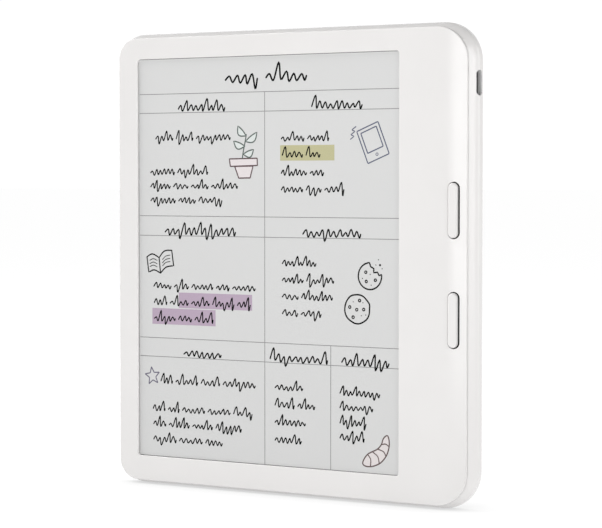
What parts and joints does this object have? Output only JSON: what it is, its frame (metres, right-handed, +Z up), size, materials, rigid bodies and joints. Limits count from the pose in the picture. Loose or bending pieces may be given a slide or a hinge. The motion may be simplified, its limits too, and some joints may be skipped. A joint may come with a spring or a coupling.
{
  "type": "e-reader",
  "caption": "White hand-held electronic book reader with a grey paper-like screen, a wide one-hand grip and page-turn buttons.",
  "frame": {"origin": "centre of the bounding box's bottom, under the lower edge of the upright reader, with the raised page buttons counted in the box", "axes": "+X towards the wide grip, +Y away from the screen (the screen faces -Y), +Z up the screen"},
  "size_m": [0.1446, 0.0088, 0.161],
  "materials": {
    "white_shell": "fine satin moulded plastic",
    "white_button": "fine satin moulded plastic",
    "paper_screen": "matt etched front film over grey e-paper",
    "clear_glass": "clear",
    "clear_acrylic": "clear",
    "panel_glass": "grey laminated panel",
    "black_tape": "matt foam tape",
    "led_white": "white package with yellow phosphor",
    "amber_flex": "polyimide film",
    "magnesium_sheet": "grey cast sheet",
    "black_steel": "black screws",
    "battery_foil": "satin foil pouch",
    "lead_sleeve": "matt sleeve",
    "connector_plastic": "moulded",
    "nickel_magnet": "nickel plated",
    "circuit_board": "green solder mask",
    "chip_black": "moulded package",
    "tinned_steel": "tinned sheet",
    "capacitor_ceramic": "fired",
    "gold_contact": "gold flash",
    "seal_rubber": "silicone seal",
    "pad_silicone": "silicone pad",
    "port_grey": "moulded grey liner"
  },
  "bodies": {
    "casing": {"front_bezel": "white_shell", "back_cover": "white_shell", "perimeter_gasket": "seal_rubber", "display_film": "paper_screen", "touch_sensor": "clear_glass", "light_guide": "clear_acrylic", "epaper_panel": "panel_glass", "display_tape": "black_tape", "front_light_leds": "led_white", "front_light_strip": "amber_flex", "display_flex": "amber_flex", "touch_flex": "amber_flex", "midframe": "magnesium_sheet", "midframe_screws": "black_steel", "battery_tape": "black_tape", "battery_cell": "battery_foil", "battery_leads": "lead_sleeve", "battery_plug": "connector_plastic", "cover_magnets": "nickel_magnet", "main_board": "circuit_board", "main_board_screws": "black_steel", "flex_connectors": "connector_plastic", "processor": "chip_black", "memory_chip": "chip_black", "storage_chip": "chip_black", "power_chip": "chip_black", "wireless_module": "circuit_board", "wireless_shield": "tinned_steel", "tilt_sensor": "chip_black", "cover_sensor": "chip_black", "small_parts": "capacitor_ceramic", "antenna_film": "amber_flex", "antenna_cable": "lead_sleeve", "usb_shell": "tinned_steel", "usb_tongue": "connector_plastic", "usb_contacts": "gold_contact", "usb_gasket": "seal_rubber", "port_ring": "port_grey", "page_switch_upper": "tinned_steel", "page_switch_lower": "tinned_steel", "button_board": "circuit_board", "button_board_screws": "black_steel", "button_flex": "amber_flex", "power_switch": "tinned_steel", "status_led": "led_white", "status_lens": "clear_acrylic"},
    "upper_page_button": {"page_button_upper": "white_button", "page_pad_upper": "pad_silicone", "page_plunger_upper": "connector_plastic"},
    "lower_page_button": {"page_button_lower": "white_button", "page_pad_lower": "pad_silicone", "page_plunger_lower": "connector_plastic"},
    "power_key": {"power_button": "white_button", "power_plunger": "connector_plastic"}
  },
  "joints": [
    {"name": "upper_page_press", "type": "slide", "parent": "casing", "child": "upper_page_button", "axis": [0, 1, 0], "range_m": [0, 0.00035], "stiffness_N_per_m": 2000, "springref_m": -0.0002},
    {"name": "lower_page_press", "type": "slide", "parent": "casing", "child": "lower_page_button", "axis": [0, 1, 0], "range_m": [0, 0.00035], "stiffness_N_per_m": 2000, "springref_m": -0.0002},
    {"name": "power_press", "type": "slide", "parent": "casing", "child": "power_key", "axis": [0, -1, 0], "range_m": [0, 0.0003], "stiffness_N_per_m": 2500, "springref_m": -0.0002}
  ]
}
